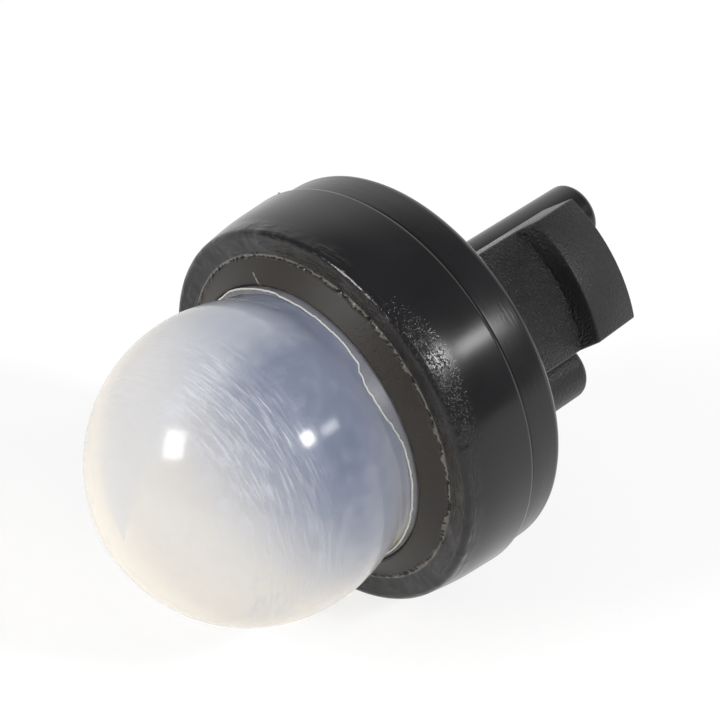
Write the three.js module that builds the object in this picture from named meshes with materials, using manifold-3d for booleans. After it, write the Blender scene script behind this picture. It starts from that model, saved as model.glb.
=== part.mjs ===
// Snap-in primer bulb of a small petrol engine, in millimetres, +Z from the panel towards the dome.
// A milky hollow bulb is clamped between a black base and a black retaining ring. The base carries
// two hooked legs on -X and +X, and a long and a short hose nipple on -Y and +Y. A rubber check
// valve sits in the base under the bulb. The origin is the centre of the face that meets the panel.
import * as THREE from "three";
import { mergeVertices } from "three/addons/utils/BufferGeometryUtils.js";
import Module from "manifold-3d";

// Bulb
const DOME_RADIUS = 8.32;
const BULB_WALL = 1.2;
const NECK_INSET = 0.97; // how much narrower than the dome the bulb's neck is
const BULB_LIP = 1.95; // how far the clamped lip stands out from the neck
const BULB_LIP_THICKNESS = 1.3;

// Retaining ring
const RING_HEIGHT = 4.56; // from its rear edge to its front outer edge
const RING_WALL = 1.7; // at the rear edge
const RING_REAR_TAPER = 0.16;
const RING_FRONT_TAPER = 0.32;
const RING_FRONT_BAND = 1.89; // height of the steeper band next to the front face
const RING_FRONT_ROUND = 0.35;
const RING_REAR_ROUND = 0.3;
const RING_ROOF = 1.41; // thickness over the bulb's lip
const FACE_DISH = 0.23; // how far the front face falls towards the collar
const COLLAR_WIDTH = 1.33;
const COLLAR_RISE = 0.98;
const COLLAR_LIP_ROUND = 0.14;
const MOUTH_GAP = 0.55; // open gap between the collar and the bulb's neck

// Base
const FLANGE_HEIGHT = 2.38;
const FLANGE_SETBACK = 0.24; // how much smaller than the ring the flange is
const FLANGE_REAR_ROUND = 0.6;
const FLANGE_FRONT_ROUND = 0.15;
const SNAP_BEAD = 0.25;
const SNAP_BEAD_WIDTH = 0.8;
const PLUG_HEIGHT = 1.6; // boss inside the bulb's neck, which carries the valve
const PLUG_GAP = 0.3;
const PLUG_CHAMFER = 0.15;
const FIT = 0.1; // clearance of the round seats

// Valve and its chambers
const SEAT_LAND = 0.45; // ring of the boss that the valve's rim rests on
const RIM_INSET = 0.2;
const INLET_GROOVE_WIDTH = 1.3;
const INLET_GROOVE_DEPTH = 2.8;
const WELL_RADIUS = 3;
const WELL_FLOOR = 0.8;
const FLAP_THICKNESS = 0.35;
const FLAP_CROWN = 0.45;
const VALVE_COLLAR_DEPTH = 1.3;
const BILL_RADIUS = 1.9;
const BILL_WALL = 0.5;
const BILL_LENGTH = 2.6;
const BILL_STRAIGHT = 0.5; // length of the bill before its lips begin
const SLIT = 0.1;

// Legs
const LEG_WIDTH = 7.1;
const LEG_RADIUS = 7.48;
const LEG_THICKNESS = 1.5;
const PANEL_GAP = 5.3; // from the flange to the foot of the catch
const CATCH_REACH = 1.12;
const CATCH_SLOPE = 0.4;
const HOOK_LENGTH = 3.3;
const HOOK_TIP_INSET = 0.45;

// Nipples
const NIPPLE_RADIUS = 1.78;
const NIPPLE_BORE_RADIUS = 0.9;
const NIPPLE_ROUND = 0.45;
const LONG_REACH = 14.8;
const LONG_OFFSET = 2;
const SHORT_REACH = 9.1;
const SHORT_OFFSET = 4.93;
const BORE_RUN_IN = 0.4; // how far a bore cuts into the chamber that it feeds
const CUT_PAST = 1; // how far a cutting body stands past the face that it opens

// Fineness of the round forms
const TURN_SIDES = 64;
const NIPPLE_SIDES = 32;
const VALVE_SIDES = 48;
const DOME_STEPS = 15;
const ROUND_STEPS = 4;

// Heights, from the panel face up
const ringRear = FLANGE_HEIGHT;
const ringFront = ringRear + RING_HEIGHT;
const collarFoot = ringFront - FACE_DISH;
const collarTop = collarFoot + COLLAR_RISE;
const lipTop = collarFoot - RING_ROOF;
const lipBottom = lipTop - BULB_LIP_THICKNESS;
const plugTop = lipBottom + PLUG_HEIGHT;

// Radii, from the dome out
const neckRadius = DOME_RADIUS - NECK_INSET;
const neckBore = neckRadius - BULB_WALL;
const domeCentre = collarTop + Math.sqrt(DOME_RADIUS ** 2 - neckRadius ** 2);
const lipRadius = neckRadius + BULB_LIP;
const mouthRadius = neckRadius + MOUTH_GAP;
const pocketRadius = lipRadius + FIT;
const spigotRadius = pocketRadius - FIT;
const ringRadius = pocketRadius + RING_WALL;
const flangeRadius = ringRadius - FLANGE_SETBACK;
const plugRadius = neckBore - PLUG_GAP;
const rimRadius = plugRadius - RIM_INSET;
const grooveOuter = rimRadius - SEAT_LAND;
const grooveInner = grooveOuter - INLET_GROOVE_WIDTH;
const beadMiddle = (ringRear + lipBottom) / 2;

const wasm = await Module();
wasm.setup();

const black = { color: 0x2b2a2c, roughness: 0.3, metalness: 0 };
const milky = { color: 0xe9e5e0, roughness: 0.3, metalness: 0, transparent: true, opacity: 0.8 };
const rubber = { color: 0x202124, roughness: 0.6, metalness: 0 };

const at = (radius, height) => new THREE.Vector2(radius, height);

// Points of a round edge about its centre, between two directions in degrees from outwards to up.
function edge(radius, height, round, from, to, steps = ROUND_STEPS) {
  return Array.from({ length: steps + 1 }, (_, i) => {
    const angle = THREE.MathUtils.degToRad(from + ((to - from) * i) / steps);
    return at(radius + round * Math.cos(angle), height + round * Math.sin(angle));
  });
}

function turned(profile, sides = TURN_SIDES) {
  return solidOf(new THREE.LatheGeometry(profile, sides).rotateX(Math.PI / 2));
}

function rod(radius, bottom, top, sides) {
  return turned([at(0, bottom), at(radius, bottom), at(radius, top), at(0, top)], sides);
}

function solidOf(geometry) {
  geometry.deleteAttribute("normal");
  geometry.deleteAttribute("uv");
  const merged = mergeVertices(geometry, 1e-5);
  return new wasm.Manifold(
    new wasm.Mesh({
      numProp: 3,
      vertProperties: merged.attributes.position.array,
      triVerts: new Uint32Array(merged.index.array),
    }),
  );
}

function meshOf(name, solid, look) {
  const { vertProperties, triVerts } = solid.getMesh();
  const geometry = new THREE.BufferGeometry();
  geometry.setAttribute("position", new THREE.BufferAttribute(vertProperties, 3));
  geometry.setIndex(new THREE.BufferAttribute(triVerts, 1));
  const flat = geometry.toNonIndexed();
  flat.computeVertexNormals();
  const mesh = new THREE.Mesh(flat, new THREE.MeshStandardMaterial(look));
  mesh.name = name;
  return mesh;
}

// The bulb is one soft moulding: a dome that narrows to a neck, with a lip that is clamped.
function bulb() {
  const cavityRadius = DOME_RADIUS - BULB_WALL;
  const neckAngle = THREE.MathUtils.radToDeg(Math.acos(neckRadius / DOME_RADIUS));
  const boreAngle = THREE.MathUtils.radToDeg(Math.acos(neckBore / cavityRadius));
  const outside = edge(0, domeCentre, DOME_RADIUS, 90, -neckAngle, DOME_STEPS);
  const inside = edge(0, domeCentre, cavityRadius, -boreAngle, 90, DOME_STEPS);
  outside[0].x = 0;
  inside[DOME_STEPS].x = 0;
  return turned([
    ...outside,
    at(neckRadius, lipTop),
    at(lipRadius, lipTop),
    at(lipRadius, lipBottom),
    at(neckBore, lipBottom),
    ...inside,
  ].reverse());
}

// The ring has a dished front face, a cone-shaped collar round the bulb, and a skirt that tapers
// in two bands. A groove in the skirt takes the base's snap bead.
function retainingRing() {
  const frontRadius = ringRadius - RING_REAR_TAPER - RING_FRONT_TAPER;
  const coneNormal = THREE.MathUtils.radToDeg(Math.atan2(COLLAR_WIDTH, COLLAR_RISE));
  const grooveRadius = pocketRadius + SNAP_BEAD;
  const grooveHalf = SNAP_BEAD_WIDTH / 2 + FIT;
  return turned([
    at(pocketRadius, ringRear),
    ...edge(ringRadius - RING_REAR_ROUND, ringRear + RING_REAR_ROUND, RING_REAR_ROUND, -90, 0),
    at(ringRadius - RING_REAR_TAPER, ringFront - RING_FRONT_BAND),
    ...edge(frontRadius - RING_FRONT_ROUND, ringFront - RING_FRONT_ROUND, RING_FRONT_ROUND, 0, 90),
    at(mouthRadius + COLLAR_WIDTH, collarFoot),
    ...edge(mouthRadius + COLLAR_LIP_ROUND, collarTop - COLLAR_LIP_ROUND, COLLAR_LIP_ROUND,
      coneNormal, 180),
    at(mouthRadius, lipTop),
    at(pocketRadius, lipTop),
    at(pocketRadius, beadMiddle + grooveHalf),
    at(grooveRadius, beadMiddle + grooveHalf / 2),
    at(grooveRadius, beadMiddle - grooveHalf / 2),
    at(pocketRadius, beadMiddle - grooveHalf),
    at(pocketRadius, ringRear),
  ]);
}

function flangeAndBoss() {
  const beadHalf = SNAP_BEAD_WIDTH / 2;
  return turned([
    at(0, 0),
    ...edge(flangeRadius - FLANGE_REAR_ROUND, FLANGE_REAR_ROUND, FLANGE_REAR_ROUND, -90, 0),
    ...edge(flangeRadius - FLANGE_FRONT_ROUND, FLANGE_HEIGHT - FLANGE_FRONT_ROUND,
      FLANGE_FRONT_ROUND, 0, 90),
    at(spigotRadius, FLANGE_HEIGHT),
    at(spigotRadius, beadMiddle - beadHalf),
    at(spigotRadius + SNAP_BEAD, beadMiddle - beadHalf / 2),
    at(spigotRadius + SNAP_BEAD, beadMiddle + beadHalf / 2),
    at(spigotRadius, beadMiddle + beadHalf),
    at(spigotRadius, lipBottom),
    at(plugRadius, lipBottom),
    at(plugRadius, plugTop - PLUG_CHAMFER),
    at(plugRadius - PLUG_CHAMFER, plugTop),
    at(0, plugTop),
  ]);
}

// Both legs at once: a turned ring with the catch's section, cut to the legs' width.
function legs() {
  const inner = LEG_RADIUS - LEG_THICKNESS;
  const ridge = LEG_RADIUS + CATCH_REACH;
  const ridgeHeight = -PANEL_GAP - CATCH_SLOPE;
  const tipHeight = ridgeHeight - HOOK_LENGTH;
  const root = FLANGE_HEIGHT / 2;
  const ring = turned([
    at(inner, root),
    at(inner, tipHeight),
    at(ridge - HOOK_TIP_INSET, tipHeight),
    at(ridge, ridgeHeight),
    at(LEG_RADIUS, -PANEL_GAP),
    at(LEG_RADIUS, root),
    at(inner, root),
  ]);
  const slab = new THREE.BoxGeometry(2 * ringRadius, LEG_WIDTH, 2 * (root - tipHeight));
  return ring.intersect(solidOf(slab));
}

function nipple(offset, reach) {
  const shank = [
    at(0, -reach),
    ...edge(NIPPLE_RADIUS - NIPPLE_ROUND, NIPPLE_ROUND - reach, NIPPLE_ROUND, -90, 0),
    at(NIPPLE_RADIUS, FLANGE_HEIGHT / 2),
    at(0, FLANGE_HEIGHT / 2),
  ];
  return turned(shank, NIPPLE_SIDES).translate(0, offset, 0);
}

function bore(offset, reach, chamberFloor) {
  return rod(NIPPLE_BORE_RADIUS, -reach - CUT_PAST, chamberFloor + BORE_RUN_IN, NIPPLE_SIDES)
    .translate(0, offset, 0);
}

// The base is one moulding. The long nipple drains the well under the valve's bill, and the short
// one feeds the groove under the valve's rim.
function base() {
  const grooveFloor = plugTop - INLET_GROOVE_DEPTH;
  const cutTop = plugTop + CUT_PAST;
  const well = rod(WELL_RADIUS, WELL_FLOOR, cutTop, VALVE_SIDES);
  const groove = rod(grooveOuter, grooveFloor, cutTop, TURN_SIDES)
    .subtract(rod(grooveInner, grooveFloor - CUT_PAST, cutTop + CUT_PAST, TURN_SIDES));
  return flangeAndBoss()
    .add(legs())
    .add(nipple(-LONG_OFFSET, LONG_REACH))
    .add(nipple(SHORT_OFFSET, SHORT_REACH))
    .subtract(well)
    .subtract(groove)
    .subtract(bore(-LONG_OFFSET, LONG_REACH, WELL_FLOOR))
    .subtract(bore(SHORT_OFFSET, SHORT_REACH, grooveFloor));
}

// A wedge that narrows downwards across X, as the outside or the hollow of the bill's two lips.
function lips(halfTop, halfBottom, top, bottom, length) {
  const section = new THREE.Shape([
    at(-halfTop, top),
    at(-halfBottom, bottom),
    at(halfBottom, bottom),
    at(halfTop, top),
  ]);
  const wedge = new THREE.ExtrudeGeometry(section, { depth: length, bevelEnabled: false });
  return solidOf(wedge.translate(0, 0, -length / 2).rotateX(Math.PI / 2));
}

// The check valve is one rubber moulding: a crowned flap over the inlet groove, a collar that
// plugs the well's mouth, and a bill with two lips that meet in a slit.
function checkValve() {
  const collarBottom = plugTop - VALVE_COLLAR_DEPTH;
  const billStart = collarBottom - BILL_STRAIGHT;
  const billEnd = collarBottom - BILL_LENGTH;
  const hollow = BILL_RADIUS - BILL_WALL;
  const flapTop = plugTop + FLAP_THICKNESS;
  const crownTop = flapTop + FLAP_CROWN;
  const body = turned([
    at(0, collarBottom),
    at(WELL_RADIUS - FIT, collarBottom),
    at(WELL_RADIUS - FIT, plugTop),
    at(rimRadius, plugTop),
    at(rimRadius, flapTop),
    at(WELL_RADIUS, crownTop),
    at(0, crownTop),
  ], VALVE_SIDES);
  const tube = rod(BILL_RADIUS, billStart, plugTop, VALVE_SIDES);
  const bill = rod(BILL_RADIUS, billEnd, billStart, VALVE_SIDES)
    .intersect(lips(BILL_RADIUS, BILL_WALL, billStart, billEnd, 2 * BILL_RADIUS));
  const passage = rod(hollow, billStart, crownTop + CUT_PAST, VALVE_SIDES);
  const throat = rod(hollow, billEnd - CUT_PAST, billStart, VALVE_SIDES)
    .intersect(lips(hollow, SLIT / 2, billStart, billEnd, 2 * hollow)
      .add(lips(SLIT / 2, SLIT / 2, billEnd + SLIT, billEnd - CUT_PAST, 2 * hollow)));
  return body.add(tube).add(bill).subtract(passage).subtract(throat);
}

const primer = new THREE.Group();
primer.add(
  meshOf("base", base(), black),
  meshOf("check_valve", checkValve(), rubber),
  meshOf("bulb", bulb(), milky),
  meshOf("retaining_ring", retainingRing(), black),
);

export default primer;
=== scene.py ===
import math

import bmesh
import bpy
from mathutils import Matrix, Vector, noise


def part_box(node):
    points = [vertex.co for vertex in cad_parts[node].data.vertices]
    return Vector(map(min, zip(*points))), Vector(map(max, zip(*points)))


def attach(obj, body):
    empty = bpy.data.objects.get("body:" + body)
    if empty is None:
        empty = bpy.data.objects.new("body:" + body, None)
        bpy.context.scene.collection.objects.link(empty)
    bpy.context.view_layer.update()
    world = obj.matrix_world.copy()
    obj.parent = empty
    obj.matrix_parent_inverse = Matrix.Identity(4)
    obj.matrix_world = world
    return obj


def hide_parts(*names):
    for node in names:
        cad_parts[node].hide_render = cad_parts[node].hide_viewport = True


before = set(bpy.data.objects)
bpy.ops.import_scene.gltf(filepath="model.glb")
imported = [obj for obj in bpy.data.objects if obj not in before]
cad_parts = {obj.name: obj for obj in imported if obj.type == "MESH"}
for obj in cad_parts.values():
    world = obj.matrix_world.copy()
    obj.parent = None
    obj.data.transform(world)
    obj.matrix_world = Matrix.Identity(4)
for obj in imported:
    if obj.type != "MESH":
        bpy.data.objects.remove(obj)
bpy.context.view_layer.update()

# Camera
# The primer lies on its side in the photograph, dome to the lower left, seen from a little
# in front of its left leg. The view is the one that the circles of the ring give.
MM = 0.001
CAMERA_FROM_AXIS = math.radians(56.27)
CAMERA_AZIMUTH = math.radians(186.9)
CAMERA_ROLL = math.radians(237.8)
CAMERA_DISTANCE = 133.6 * MM
CAMERA_TARGET = Vector((0, 0, 6.94 * MM))
CAMERA_RIGHT_SHIFT = 2.321 * MM
CAMERA_UP_SHIFT = 3.106 * MM
CAMERA_LENS = 129.97

to_camera = Vector((
    math.sin(CAMERA_FROM_AXIS) * math.cos(CAMERA_AZIMUTH),
    math.sin(CAMERA_FROM_AXIS) * math.sin(CAMERA_AZIMUTH),
    math.cos(CAMERA_FROM_AXIS),
))
level_right = Vector((0, 0, 1)).cross(to_camera).normalized()
level_up = to_camera.cross(level_right)
view_right = math.cos(CAMERA_ROLL) * level_right + math.sin(CAMERA_ROLL) * level_up
view_up = to_camera.cross(view_right)
camera = bpy.data.objects.new("camera", bpy.data.cameras.new("camera"))
camera.data.lens = CAMERA_LENS
camera.data.clip_start = CAMERA_DISTANCE / 10
camera.matrix_world = Matrix.Translation(
    CAMERA_TARGET + CAMERA_DISTANCE * to_camera
    + CAMERA_RIGHT_SHIFT * view_right + CAMERA_UP_SHIFT * view_up
) @ Matrix((view_right, view_up, to_camera)).transposed().to_4x4()
bpy.context.scene.collection.objects.link(camera)
bpy.context.scene.camera = camera
bpy.context.scene.view_settings.view_transform = "Standard"

# Base
# One injection moulding in black plastic: a flange that meets the panel, a boss under the bulb,
# two hooked legs that snap through the panel, and a long and a short hose nipple.
base_low, base_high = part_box("base")
FLANGE_RADIUS = base_high.y
FLANGE_HEIGHT = 2.38 * MM
FLANGE_REAR_ROUND = 0.6 * MM
FLANGE_FRONT_ROUND = 0.15 * MM
SPIGOT_RADIUS = 9.3 * MM
SPIGOT_TOP = 4 * MM
SNAP_BEAD = 0.25 * MM
BEAD_HALF = 0.4 * MM
PLUG_RADIUS = 5.85 * MM
PLUG_ROUND = 0.15 * MM
GROOVE_OUTER = 5.2 * MM
GROOVE_INNER = 3.9 * MM
GROOVE_FLOOR = 2.8 * MM
WELL_RADIUS = 3 * MM
WELL_FLOOR = 0.8 * MM
LEG_HALF_WIDTH = 3.55 * MM
LEG_OUTER = 7.48 * MM
LEG_INNER = 5.98 * MM
CATCH_FOOT = -5.3 * MM
CATCH_RIDGE = -5.7 * MM
CATCH_REACH = 1.12 * MM
HOOK_END = -9 * MM
HOOK_TIP_INSET = 0.45 * MM
LEG_EDGE_ROUND = 0.1 * MM
LEG_STEPS = 32
NIPPLE_RADIUS = 1.78 * MM
NIPPLE_BORE = 0.9 * MM
NIPPLE_ROUND = 0.45 * MM
LONG_NIPPLE = (-2 * MM, base_low.z)
SHORT_NIPPLE = (4.93 * MM, -9.1 * MM)
TURN_SIDES = 256
ROUND_STEPS = 6
base_top = base_high.z
bead_middle = (FLANGE_HEIGHT + SPIGOT_TOP) / 2


def softened(corners):
    """Turns a line of (radius, height, round) corners into points, with an arc at each round."""
    points = []
    for i, (x, z, reach) in enumerate(corners):
        here = Vector((x, z))
        if not reach or i in (0, len(corners) - 1):
            points.append(here)
            continue
        back = (Vector(corners[i - 1][:2]) - here).normalized()
        on = (Vector(corners[i + 1][:2]) - here).normalized()
        half = back.angle(on) / 2
        start = here + back * reach / math.tan(half)
        stop = here + on * reach / math.tan(half)
        centre = here + (back + on).normalized() * reach / math.sin(half)
        for step in range(ROUND_STEPS + 1):
            chord = start.lerp(stop, step / ROUND_STEPS)
            points.append(centre + (chord - centre).normalized() * reach)
    return points


def piece_of(name, vertices, faces):
    mesh = bpy.data.meshes.new(name)
    mesh.from_pydata(vertices, [], faces)
    solid = bmesh.new()
    solid.from_mesh(mesh)
    bmesh.ops.remove_doubles(solid, verts=solid.verts, dist=1e-7)
    bmesh.ops.recalc_face_normals(solid, faces=solid.faces)
    solid.to_mesh(mesh)
    solid.free()
    piece = bpy.data.objects.new(name, mesh)
    bpy.context.scene.collection.objects.link(piece)
    return piece


def turned(name, corners, sides=TURN_SIDES, centre=(0, 0), shaped=lambda point, turn: point):
    """A turned solid. Its line of corners starts and ends on the axis or at one point."""
    line = softened(corners)
    vertices = [
        (centre[0] + p.x * math.cos(turn), centre[1] + p.x * math.sin(turn), p.y)
        for turn in (math.tau * i / sides for i in range(sides))
        for p in (shaped(point, turn) for point in line)
    ]
    count = len(line)
    faces = [
        (i * count + j, (i + 1) % sides * count + j,
         (i + 1) % sides * count + j + 1, i * count + j + 1)
        for i in range(sides)
        for j in range(count - 1)
    ]
    return piece_of(name, vertices, faces)


def applied(piece, kind, **settings):
    modifier = piece.modifiers.new(kind, kind)
    for key, value in settings.items():
        setattr(modifier, key, value)
    bpy.context.view_layer.update()
    graph = bpy.context.evaluated_depsgraph_get()
    made = bpy.data.meshes.new_from_object(piece.evaluated_get(graph))
    piece.modifiers.clear()
    piece.data = made
    return piece


def combined(piece, other, operation):
    applied(piece, "BOOLEAN", object=other, operation=operation, solver="EXACT")
    bpy.data.objects.remove(other)
    return piece


def smooth(piece, sharp_over=32):
    piece.data.shade_smooth()
    piece.data.set_sharp_from_angle(angle=math.radians(sharp_over))
    return piece


def leg(side):
    """One leg, as its catch's section set round the axis between two flat sides."""
    ridge = LEG_OUTER + CATCH_REACH
    section = [
        (LEG_INNER, FLANGE_HEIGHT / 2), (LEG_INNER, HOOK_END),
        (ridge - HOOK_TIP_INSET, HOOK_END), (ridge, CATCH_RIDGE),
        (LEG_OUTER, CATCH_FOOT), (LEG_OUTER, FLANGE_HEIGHT / 2),
    ]
    stations = [LEG_HALF_WIDTH * (2 * i / LEG_STEPS - 1) for i in range(LEG_STEPS + 1)]
    vertices = [
        (side * math.sqrt(radius ** 2 - y ** 2), y, z)
        for y in stations
        for radius, z in section
    ]
    count = len(section)
    faces = [
        (i * count + j, i * count + (j + 1) % count,
         (i + 1) * count + (j + 1) % count, (i + 1) * count + j)
        for i in range(LEG_STEPS)
        for j in range(count)
    ]
    ends = [tuple(range(count)), tuple(range(LEG_STEPS * count, (LEG_STEPS + 1) * count))]
    made = piece_of("leg", vertices, faces + ends)
    return applied(made, "BEVEL", width=LEG_EDGE_ROUND, segments=3, limit_method="ANGLE",
                   angle_limit=math.radians(20))


base = turned("base_moulding", [
    (0, 0, 0),
    (FLANGE_RADIUS, 0, FLANGE_REAR_ROUND),
    (FLANGE_RADIUS, FLANGE_HEIGHT, FLANGE_FRONT_ROUND),
    (SPIGOT_RADIUS, FLANGE_HEIGHT, 0),
    (SPIGOT_RADIUS, bead_middle - BEAD_HALF, 0),
    (SPIGOT_RADIUS + SNAP_BEAD, bead_middle, 0),
    (SPIGOT_RADIUS, bead_middle + BEAD_HALF, 0),
    (SPIGOT_RADIUS, SPIGOT_TOP, 0),
    (PLUG_RADIUS, SPIGOT_TOP, 0),
    (PLUG_RADIUS, base_top, PLUG_ROUND),
    (0, base_top, 0),
])
for side in (-1, 1):
    combined(base, leg(side), "UNION")
for offset, end in (LONG_NIPPLE, SHORT_NIPPLE):
    combined(base, turned("nipple", [
        (0, end, 0),
        (NIPPLE_RADIUS, end, NIPPLE_ROUND),
        (NIPPLE_RADIUS, FLANGE_HEIGHT / 2, 0),
        (0, FLANGE_HEIGHT / 2, 0),
    ], sides=96, centre=(0, offset)), "UNION")
for offset, low, high in ((LONG_NIPPLE[0], 2 * LONG_NIPPLE[1], WELL_FLOOR + 0.4 * MM),
                          (SHORT_NIPPLE[0], 2 * SHORT_NIPPLE[1], GROOVE_FLOOR + 0.4 * MM)):
    combined(base, turned("bore", [
        (0, low, 0), (NIPPLE_BORE, low, 0), (NIPPLE_BORE, high, 0), (0, high, 0),
    ], sides=64, centre=(0, offset)), "DIFFERENCE")
combined(base, turned("well", [
    (0, WELL_FLOOR, 0), (WELL_RADIUS, WELL_FLOOR, 0), (WELL_RADIUS, 2 * base_top, 0),
    (0, 2 * base_top, 0),
], sides=96), "DIFFERENCE")
combined(base, turned("groove", [
    (GROOVE_INNER, GROOVE_FLOOR, 0), (GROOVE_OUTER, GROOVE_FLOOR, 0),
    (GROOVE_OUTER, 2 * base_top, 0), (GROOVE_INNER, 2 * base_top, 0),
    (GROOVE_INNER, GROOVE_FLOOR, 0),
], sides=96), "DIFFERENCE")
BURR_TURN = math.radians(272)
BURR_HALF = math.radians(1.5)
burr_foot = [(FLANGE_RADIUS - 0.1 * MM, BURR_TURN - BURR_HALF, 1.7 * MM),
             (FLANGE_RADIUS - 0.1 * MM, BURR_TURN + BURR_HALF, 1.7 * MM),
             (FLANGE_RADIUS - 0.1 * MM, BURR_TURN + BURR_HALF / 2, 2.3 * MM),
             (FLANGE_RADIUS + 0.24 * MM, BURR_TURN + BURR_HALF / 2, 1.85 * MM)]
combined(base, piece_of("burr", [
    (radius * math.cos(turn), radius * math.sin(turn), z) for radius, turn, z in burr_foot
], [(0, 1, 2), (0, 3, 1), (1, 3, 2), (2, 3, 0)]), "UNION")
smooth(base)


class Value:
    """A node's output that adds its own Math nodes when it is used in an expression."""

    def __init__(self, finish, socket):
        self.finish = finish
        self.socket = socket

    def maths(self, operation, *values):
        return self.finish.node("Math", {"operation": operation}, dict(enumerate(values)))

    def __add__(self, other):
        return self.maths("ADD", self, other)

    def __sub__(self, other):
        return self.maths("SUBTRACT", self, other)

    def __rsub__(self, other):
        return self.maths("SUBTRACT", other, self)

    def __mul__(self, other):
        return self.maths("MULTIPLY", self, other)

    def __truediv__(self, other):
        return self.maths("DIVIDE", self, other)

    def __pow__(self, other):
        return self.maths("POWER", self, other)

    __radd__ = __add__
    __rmul__ = __mul__

    def step(self, low, high):
        """0 below low and 1 above high, with a smooth rise between, or a fall if low is higher."""
        if low > high:
            return 1 - self.step(high, low)
        return self.finish.node(
            "MapRange", {"interpolation_type": "SMOOTHSTEP"}, {0: self, 1: low, 2: high}
        )


class Finish:
    """The shader nodes of a material or of the world, under construction."""

    def __init__(self, name, kind="Material"):
        self.kind = kind
        self.owner = getattr(bpy.data, kind.lower() + "s").new(name)
        self.owner.use_nodes = True
        self.tree = self.owner.node_tree
        self.tree.nodes.clear()

    def node(self, kind, settings=None, sockets=None, output=0):
        made = self.tree.nodes.new("ShaderNode" + kind)
        for key, value in (settings or {}).items():
            setattr(made, key, value)
        for key, value in (sockets or {}).items():
            if isinstance(value, Value):
                self.tree.links.new(value.socket, made.inputs[key])
            elif value is not None:
                made.inputs[key].default_value = value
        return Value(self, made.outputs[output])

    def place(self):
        """The object's own coordinates in millimetres."""
        here = self.node("TexCoord", output="Object")
        return self.node("VectorMath", {"operation": "MULTIPLY"}, {0: here, 1: (1 / MM,) * 3})

    def noise(self, scale, detail=2, vector=None):
        return self.node("TexNoise", {}, {
            "Vector": vector or self.place(), "Scale": scale, "Detail": detail,
        })

    def axes(self):
        """Distance from the axis, height, and the direction from the axis as two cosines."""
        split = self.node("SeparateXYZ", {}, {0: self.place()}).socket.node
        x, y, z = (Value(self, output) for output in split.outputs)
        radius = (x * x + y * y) ** 0.5
        return radius, z, x / radius, y / radius

    def streaks(self, along, across, detail=2):
        """Noise that is drawn out round the axis."""
        radius, z, east, north = self.axes()
        return self.noise(1, detail, self.node("CombineXYZ", {}, {
            0: east * along, 1: north * along, 2: (z + radius) * across,
        }))

    def spot(self, degrees, height, radius, size):
        """1 within a size in millimetres of one point, given round the axis and along it."""
        turn = math.radians(degrees)
        point = (radius * math.cos(turn), radius * math.sin(turn), height)
        away = self.node("VectorMath", {"operation": "DISTANCE"}, {0: self.place(), 1: point}, 1)
        return away.step(size, size * 0.6)

    def blend(self, factor, first, second):
        return self.node("Mix", {"data_type": "RGBA"}, {0: factor, 6: first, 7: second}, 2)

    def bump(self, height, strength, distance):
        return self.node("Bump", {}, {
            "Height": height, "Strength": strength, "Distance": distance * MM,
        })

    def rays(self, *kinds):
        """1 where the light path's ray is of any of these kinds."""
        found = self.node("LightPath", output="Is %s Ray" % kinds[0])
        for kind in kinds[1:]:
            found = found.maths("MAXIMUM", found, self.node("LightPath", output="Is %s Ray" % kind))
        return found

    def done(self, shader):
        out = self.tree.nodes.new("ShaderNodeOutput" + self.kind)
        self.tree.links.new(shader.socket, out.inputs["Surface"])
        return self.owner


BLACK = (0.010, 0.0095, 0.0105, 1)
WORN_BLACK = (0.018, 0.017, 0.019, 1)


def grained_plastic():
    """Glossy flange and nipples, and legs with the sparkle of an eroded mould."""
    finish = Finish("grained_black_plastic")
    radius, z, east, north = finish.axes()
    cloud = finish.noise(0.35, 3)
    neck = z.step(0.05, -0.15) * z.step(-5.6, -5.2)
    hook = z.step(-5.2, -5.7)
    middle = radius.step(4.2, 5.2)
    grain = finish.noise(7.5, 3).step(0.25, 0.75)
    rubbed = finish.streaks(5, 7, 3)
    height = grain * (neck + hook * 0.3) * middle + rubbed * (0.06 + 0.12 * radius.step(10, 10.6))
    shader = finish.node("BsdfPrincipled", {}, {
        "Base Color": finish.blend(cloud, BLACK, WORN_BLACK),
        "Roughness": 0.21 + 0.08 * cloud + 0.14 * hook * middle,
        "Specular IOR Level": 0.38,
        "Normal": finish.bump(height, 1.0, 0.06),
    })
    return finish.done(shader)


base.data.materials.append(grained_plastic())
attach(base, "root")
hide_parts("base")

# Check valve
# One moulding in black rubber, pressed into the well's mouth. Its crowned flap lies over the
# groove in the boss, and its bill hangs in the well.
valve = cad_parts["check_valve"]
rubber = Finish("valve_rubber")
rubber_cloud = rubber.noise(0.8, 3)
rubber_shader = rubber.node("BsdfPrincipled", {}, {
    "Base Color": rubber.blend(rubber_cloud, (0.006, 0.006, 0.007, 1), (0.014, 0.014, 0.016, 1)),
    "Roughness": 0.45 + 0.15 * rubber_cloud,
    "Normal": rubber.bump(rubber.noise(9, 3), 0.3, 0.01),
})
valve.data.materials.clear()
valve.data.materials.append(rubber.done(rubber_shader))

# Bulb
# A hollow ball blown in a soft milky plastic. It narrows to a neck whose lip is clamped between
# the base and the ring. Light goes through its wall, so the dark boss shows through it.
bulb_low, bulb_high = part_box("bulb")
DOME_RADIUS = 8.32 * MM
BULB_WALL = 1.2 * MM
NECK_RADIUS = 7.65 * MM
LIP_THICKNESS = 1.3 * MM
DOME_STEPS = 64
lip_radius = bulb_high.x
dome_centre = bulb_high.z - DOME_RADIUS
neck_bore = NECK_RADIUS - BULB_WALL
cavity_radius = DOME_RADIUS - BULB_WALL


def arc(radius, height, start, stop, steps):
    """Corners on an arc about a point of the axis, from one direction to another, in radians."""
    angles = (start + (stop - start) * i / steps for i in range(steps + 1))
    return [(radius * math.cos(a), height + radius * math.sin(a), 0) for a in angles]


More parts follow.
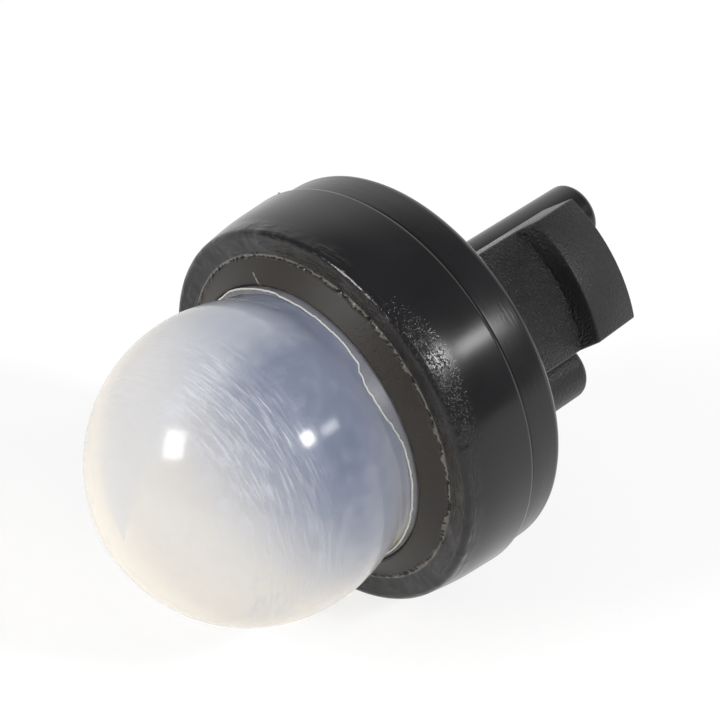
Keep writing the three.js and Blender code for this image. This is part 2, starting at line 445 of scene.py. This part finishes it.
dome_outside = arc(DOME_RADIUS, dome_centre, math.pi / 2, -math.acos(NECK_RADIUS / DOME_RADIUS),
                   DOME_STEPS)
dome_inside = arc(cavity_radius, dome_centre, -math.acos(neck_bore / cavity_radius), math.pi / 2,
                  DOME_STEPS)
bulb = smooth(turned("bulb_skin", [
    *dome_outside,
    (NECK_RADIUS, bulb_low.z + LIP_THICKNESS, 0.2 * MM),
    (lip_radius, bulb_low.z + LIP_THICKNESS, 0),
    (lip_radius, bulb_low.z, 0),
    (neck_bore, bulb_low.z, 0),
    *dome_inside,
]))


SENT_BACK = (0.115, 0.15, 0.25, 1)
LET_THROUGH = (0.84, 0.79, 0.67, 1)
SPREAD = (0.05, 0.05, 0.04, 1)
# White of the scratched haze, also used for a painted lighter patch on one side of the dome.
SCRATCH_HAZE_AND_PAINTED_LIGHT = (0.72, 0.74, 0.80, 1)
SHEEN = (0.88, 0.86, 0.84, 1)
BLUR_IOR = 1.2
SURFACE_IOR = 1.4
NICK = (182.5, 9.80, 8.05, 0.09)


def milky_plastic():
    """The haze in the wall shines blue over the dark boss, and lets warmer light through."""
    finish = Finish("milky_plastic")
    cloud = finish.noise(0.25, 3)
    uneven = finish.bump(finish.noise(1.2, 3), 0.15, 0.02)
    leaving = finish.node("NewGeometry", output="Backfacing")
    clear = finish.node("MixShader", {}, {
        0: leaving,
        1: finish.node("BsdfGlass", {"distribution": "MULTI_GGX"}, {
            "Color": LET_THROUGH, "Roughness": 1.0, "IOR": BLUR_IOR,
        }),
        2: finish.node("BsdfTransparent", {}, {"Color": LET_THROUGH}),
    })
    haze = finish.node("AddShader", {}, {
        0: finish.node("BsdfDiffuse", {}, {"Color": SENT_BACK, "Normal": uneven}),
        1: finish.node("BsdfTranslucent", {}, {"Color": SPREAD, "Normal": uneven}),
    })
    radius, z, east, north = finish.axes()
    worn = z.step(11.6, 14.0) * z.step(18.5, 16.2) * (0.45 + 0.55 * cloud.step(0.35, 0.6))
    fine = finish.streaks(5, 24, 5).step(0.44, 0.68)
    hair = finish.streaks(3.4, 62, 2).step(0.58, 0.68) * finish.noise(0.7, 2).step(0.40, 0.60)
    mottle = finish.noise(1.3, 4).step(0.45, 0.75)
    # Painted light: a whiter patch on one side of the dome above the neck stands in for light
    # through the wall. The rest of this haze is real scratches, mottle and the nick.
    painted_light_patch = (-0.42 * east - 0.9 * north).step(0.8, 1) * z.step(8.3, 10.5)
    haze_and_painted_light = (worn * (0.04 + 0.40 * fine + 0.5 * hair) + 0.09 * mottle
            + 0.06 * cloud.step(0.4, 0.8) + 0.4 * painted_light_patch + 0.5 * finish.spot(*NICK))
    body = finish.node("MixShader", {}, {
        0: haze_and_painted_light,
        1: finish.node("AddShader", {}, {0: clear, 1: haze}),
        2: finish.node("BsdfDiffuse", {}, {"Color": SCRATCH_HAZE_AND_PAINTED_LIGHT, "Normal": uneven}),
    })
    gloss = finish.node("BsdfGlossy", {}, {
        "Color": SHEEN, "Roughness": 0.15, "Normal": uneven,
    })
    return finish.done(finish.node("MixShader", {}, {
        0: finish.node("Fresnel", {}, {"IOR": SURFACE_IOR}) * (1 - leaving), 1: body, 2: gloss,
    }))


def milky_inside():
    """The cavity's wall adds nothing: the outer face holds the whole wall's look."""
    finish = Finish("milky_inside")
    return finish.done(finish.node("BsdfTransparent", {}, {"Color": (1, 1, 1, 1)}))


bulb.data.materials.append(milky_plastic())
bulb.data.materials.append(milky_inside())
for face in bulb.data.polygons:
    from_axis = face.center - Vector((0, 0, min(face.center.z, dome_centre)))
    face.material_index = int(face.normal.dot(from_axis) < 0)
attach(bulb, "root")
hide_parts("bulb")

# Retaining ring
# One injection moulding in glossy black plastic. Its skirt snaps over the base's bead, its dished
# face clamps the bulb's lip, and a cone-shaped collar stands round the bulb.
ring_low, ring_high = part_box("retaining_ring")
RING_RADIUS = ring_high.x
RING_FRONT = 6.94 * MM
BAND_FOOT = 5.05 * MM
BAND_ROUND = 14 * MM
REAR_TAPER = 0.16 * MM
FRONT_TAPER = 0.32 * MM
REAR_ROUND = 0.3 * MM
FRONT_ROUND = 0.35 * MM
FACE_DISH = 0.23 * MM
COLLAR_WIDTH = 1.33 * MM
MOUTH_RADIUS = 7.9 * MM
MOUTH_ROUND = 0.14 * MM
POCKET_RADIUS = 9.4 * MM
POCKET_TOP = 5.3 * MM
collar_foot = RING_FRONT - FACE_DISH
LINE_RADIUS = MOUTH_RADIUS + COLLAR_WIDTH
LINE_HALF = 0.15 * MM
LINE_HEIGHT = 0.13 * MM
LINE_WANDER = 0.12 * MM
LINE_STEPS = 20
COLLAR_SLOPE = 0.72
# The collar's brown is a painted reflection of the warm bulb, not the plastic's own colour.
COLLAR_PAINTED_REFLECTION = (0.030, 0.025, 0.021, 1)
# Whitened plastic of the collar's scratch, also used as a painted highlight on the flash line's
# crest.
SCRATCH_AND_PAINTED_HIGHLIGHT = (0.3, 0.28, 0.24, 1)
SCRATCH_START = (-1.987, -8.275)
SCRATCH_WAY = (-0.615, 0.789)
SCRATCH_LENGTH = 0.98
RING_SIDES = 1024


def rough_line(point, turn):
    """Lifts a broken, wandering line of flash along the foot of the collar."""
    way = Vector((math.cos(turn), math.sin(turn), 0))
    off = (point.x - LINE_RADIUS - LINE_WANDER * noise.noise(way * 7)) / LINE_HALF
    if point.y < collar_foot - LINE_HALF or abs(off) >= 1:
        return point
    crest = 0.35 + noise.noise(way * 13) + 0.8 * noise.noise(way * 37) + 0.5 * noise.noise(way * 90)
    return point + Vector((0, LINE_HEIGHT * crest * (1 - off * off)))


line_points = []
for line_step in range(LINE_STEPS):
    line_x = LINE_RADIUS + LINE_HALF * (1.9 - 0.2 * line_step)
    line_rise = FACE_DISH * 0.12 if line_x > LINE_RADIUS else COLLAR_SLOPE * (LINE_RADIUS - line_x)
    line_points.append((line_x, collar_foot + line_rise, 0))
ring = smooth(turned("ring_moulding", [
    (POCKET_RADIUS, ring_low.z, 0),
    (RING_RADIUS, ring_low.z, REAR_ROUND),
    (RING_RADIUS - REAR_TAPER, BAND_FOOT, BAND_ROUND),
    (RING_RADIUS - REAR_TAPER - FRONT_TAPER, RING_FRONT, FRONT_ROUND),
    *line_points,
    (MOUTH_RADIUS, ring_high.z, MOUTH_ROUND),
    (MOUTH_RADIUS, POCKET_TOP, 0),
    (POCKET_RADIUS, POCKET_TOP, 0),
    (POCKET_RADIUS, ring_low.z, 0),
], sides=RING_SIDES, shaped=rough_line), sharp_over=50)


def glossy_plastic():
    """Glossy plastic, rubbed along its edges, and browner on the thin collar, a painted reflection
    of the warm bulb.
    """
    finish = Finish("glossy_black_plastic")
    radius, z, east, north = finish.axes()
    cloud = finish.noise(0.35, 3)
    rubbed = finish.streaks(9, 7, 4)
    edge = z.step(5.7, 6.5) * radius.step(9.2, 9.5) * finish.noise(0.6, 2).step(0.30, 0.6)
    collar = radius.step(9.25, 9.05) * z.step(6.4, 6.7)
    pits = finish.noise(7, 3).step(0.50, 0.72) * z.step(5.0, 6.0) * (-1 * east).step(0.86, 0.97)
    # Painted highlight: the crest of the flash line is lightened as if it caught the light.
    crest = (z + COLLAR_SLOPE * (radius - LINE_RADIUS / MM)).step(6.78, 6.84)
    crest = crest * radius.step(9.06, 9.12) * radius.step(9.40, 9.32)
    x = east * radius - SCRATCH_START[0]
    y = north * radius - SCRATCH_START[1]
    aside = x * SCRATCH_WAY[1] - y * SCRATCH_WAY[0]
    along = x * SCRATCH_WAY[0] + y * SCRATCH_WAY[1]
    scratch = (aside * aside).step(0.0016, 0.0004) * finish.noise(5, 2).step(0.35, 0.5)
    scratch = scratch * along.step(-0.05, 0) * along.step(SCRATCH_LENGTH, 0.9) * collar
    plastic = finish.blend(collar, finish.blend(cloud, BLACK, WORN_BLACK), COLLAR_PAINTED_REFLECTION)
    shader = finish.node("BsdfPrincipled", {}, {
        "Base Color": finish.blend(
            scratch.maths("MAXIMUM", scratch, 0.5 * crest), plastic, SCRATCH_AND_PAINTED_HIGHLIGHT),
        "Roughness": 0.16 + 0.08 * cloud + 0.28 * collar,
        "Specular IOR Level": 0.38,
        "Normal": finish.bump(rubbed * (0.04 + edge * 1.6) - pits * 0.35, 0.8, 0.06),
    })
    return finish.done(shader)


ring.data.materials.append(glossy_plastic())
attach(ring, "root")
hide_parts("retaining_ring")

# Flash film
# A thin film of the bulb's plastic that was squeezed out between the bulb and the ring's mouth.
# Its torn free edge lies on the bulb, and is thicker than the rest.
FILM_BEAD = 0.045 * MM
FILM_FOOT = 0.4 * MM
FILM_SIDES = 900
BEAD_FACES = range(2, 6)
FILM_SHEET = (0.27, 0.28, 0.32, 1)
FILM_TORN = (0.72, 0.72, 0.71, 1)
FILM_EDGE = (
    (0, 0.12, 0.03), (100, 0.05, 0.03), (125, 0.05, 0.02), (150, 0.07, 0.06), (162, 0.10, 0.02),
    (171, 0.30, 0), (176, 0.50, 0), (187, 0.60, 0), (193, 0.42, 0), (198, 0.14, 0),
    (205, 0.08, 0.02), (236, 0.08, 0.05), (244, 0.10, 0.20), (254, 0.24, 0.26),
    (266, 0.26, 0.28), (276, 0.12, 0.16), (300, 0.10, 0.05), (360, 0.12, 0.03),
)


def film_edge(turn):
    """How far the free edge rises over the ring's lip, and stands off the bulb, in millimetres."""
    degrees = math.degrees(turn) % 360
    for (start, *low), (stop, *high) in zip(FILM_EDGE, FILM_EDGE[1:]):
        if degrees <= stop:
            share = (degrees - start) / (stop - start)
            share = share * share * (3 - 2 * share)
            return [a + share * (b - a) for a, b in zip(low, high)]


def film_section(turn):
    """The film's outline at one turn: a wedge between bulb and mouth, with a bead along its edge."""
    rise, stand_off = film_edge(turn)
    way = Vector((math.cos(turn), math.sin(turn), 0.5))
    rise += 0.06 * noise.noise(way * 23) + 0.03 * noise.noise(way * 60)
    z = ring_high.z + max(rise, 0.01) * MM
    on_ball = z > dome_centre - math.sqrt(DOME_RADIUS ** 2 - NECK_RADIUS ** 2)
    body = math.sqrt(DOME_RADIUS ** 2 - (z - dome_centre) ** 2) if on_ball else NECK_RADIUS
    radius = body + FILM_BEAD + stand_off * MM
    outer = MOUTH_RADIUS - 0.02 * MM
    knee = ring_high.z - 0.1 * MM
    bead = [
        (radius + FILM_BEAD * math.cos(a), z + FILM_BEAD * math.sin(a))
        for a in (math.radians(60 * i - 30) for i in range(5))
    ]
    return [
        (outer, ring_high.z - FILM_FOOT), (outer, knee), *bead,
        (body + 0.01 * MM, z - FILM_BEAD), (NECK_RADIUS + 0.01 * MM, ring_high.z - FILM_FOOT),
    ]


film_points = [film_section(math.tau * i / FILM_SIDES) for i in range(FILM_SIDES)]
film_count = len(film_points[0])
film = piece_of("flash_film", [
    (radius * math.cos(math.tau * i / FILM_SIDES), radius * math.sin(math.tau * i / FILM_SIDES), z)
    for i, section in enumerate(film_points)
    for radius, z in section
], [
    (i * film_count + j, (i + 1) % FILM_SIDES * film_count + j,
     (i + 1) % FILM_SIDES * film_count + (j + 1) % film_count,
     i * film_count + (j + 1) % film_count)
    for i in range(FILM_SIDES)
    for j in range(film_count)
])
smooth(film, sharp_over=60)


def film_plastic(name, colour, share):
    finish = Finish(name)
    cloud = finish.noise(2.5, 3)
    skin = finish.node("BsdfPrincipled", {}, {
        "Base Color": colour, "Roughness": 0.3 + 0.1 * cloud,
        "Normal": finish.bump(finish.noise(7, 3), 0.4, 0.03),
    })
    return finish.done(finish.node("MixShader", {}, {
        0: share + 0.2 * (cloud - 0.5), 1: finish.node("BsdfTransparent"), 2: skin,
    }))


film.data.materials.append(film_plastic("film_sheet", FILM_SHEET, 0.62))
film.data.materials.append(film_plastic("film_edge", FILM_TORN, 0.9))
for face in film.data.polygons:
    face.material_index = int(face.index % film_count in BEAD_FACES)
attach(film, "root")

# Studio
# A white table under the ring's edge, which keeps a faint shadow, two soft boxes, one on each
# side of the camera, and a dim strip that draws the streak down the ring's side.
TABLE_VIEW = math.radians(34)
TABLE_SIZE = 4
TABLE_GLOW = 0.79
TABLE_COLOUR = (0.25, 0.247, 0.247, 1)
ROOM_LIGHT = 0.38
ROOM_SHEEN = 0.16
LAMPS = (
    ("left_box", (-0.76, 0.21, 0.62), 0.26, 0.30, 4.6),
    ("right_box", (0.67, 0.29, 0.69), 0.13, 0.15, 4.2),
    ("right_strip", (0.83, 0.37, 0.42), 0.10, 0.26, 1.3),
)
LAMP_DISTANCE = 1.0

table_normal = math.cos(TABLE_VIEW) * view_up + math.sin(TABLE_VIEW) * to_camera
table_point = -RING_RADIUS * table_normal * 1.02 + Vector((0, 0, ring_low.z))
table_mesh = bpy.data.meshes.new("table")
table_mesh.from_pydata(
    [(x * TABLE_SIZE / 2, y * TABLE_SIZE / 2, 0) for x, y in ((-1, -1), (1, -1), (1, 1), (-1, 1))],
    [], [(0, 1, 2, 3)])
table = bpy.data.objects.new("table", table_mesh)
table.matrix_world = (Matrix.Translation(table_point)
                      @ table_normal.to_track_quat("Z", "Y").to_matrix().to_4x4())
bpy.context.scene.collection.objects.link(table)
cloth = Finish("white_table")
seen = cloth.rays("Camera", "Glossy", "Transmission")
plain = cloth.node("BsdfDiffuse", {}, {"Color": (0.8, 0.8, 0.8, 1)})
lit = cloth.node("AddShader", {}, {
    0: cloth.node("BsdfDiffuse", {}, {"Color": TABLE_COLOUR}),
    1: cloth.node("Emission", {}, {"Strength": TABLE_GLOW}),
})
front = cloth.node("MixShader", {}, {0: seen, 1: plain, 2: lit})
table.data.materials.append(cloth.done(cloth.node("MixShader", {}, {
    0: cloth.node("NewGeometry", output="Backfacing"),
    1: front,
    2: cloth.node("BsdfTransparent"),
})))

room = Finish("studio", "World")
towards_camera = room.node("VectorMath", {"operation": "DOT_PRODUCT"}, {
    0: room.node("TexCoord", output="Generated"), 1: tuple(to_camera),
}, 1)
backdrop = towards_camera.step(0.15, -0.45)
mirrored = room.rays("Glossy", "Transmission")
strength = ROOM_LIGHT + mirrored * (ROOM_SHEEN + (1 - ROOM_SHEEN) * backdrop - ROOM_LIGHT)
strength = strength.maths("MAXIMUM", strength, room.rays("Camera"))
bpy.context.scene.world = room.done(
    room.node("Background", {}, {"Color": (1, 1, 1, 1), "Strength": strength}))

for name, aim, width, height, power in LAMPS:
    data = bpy.data.lights.new(name, "AREA")
    data.shape = "RECTANGLE"
    data.size = width
    data.size_y = height
    data.energy = power
    lamp = bpy.data.objects.new(name, data)
    aside = aim[0] * view_right + aim[1] * view_up + aim[2] * to_camera
    lamp.location = CAMERA_TARGET + aside.normalized() * LAMP_DISTANCE
    lamp.rotation_euler = aside.to_track_quat("Z", "Y").to_euler()
    bpy.context.scene.collection.objects.link(lamp)
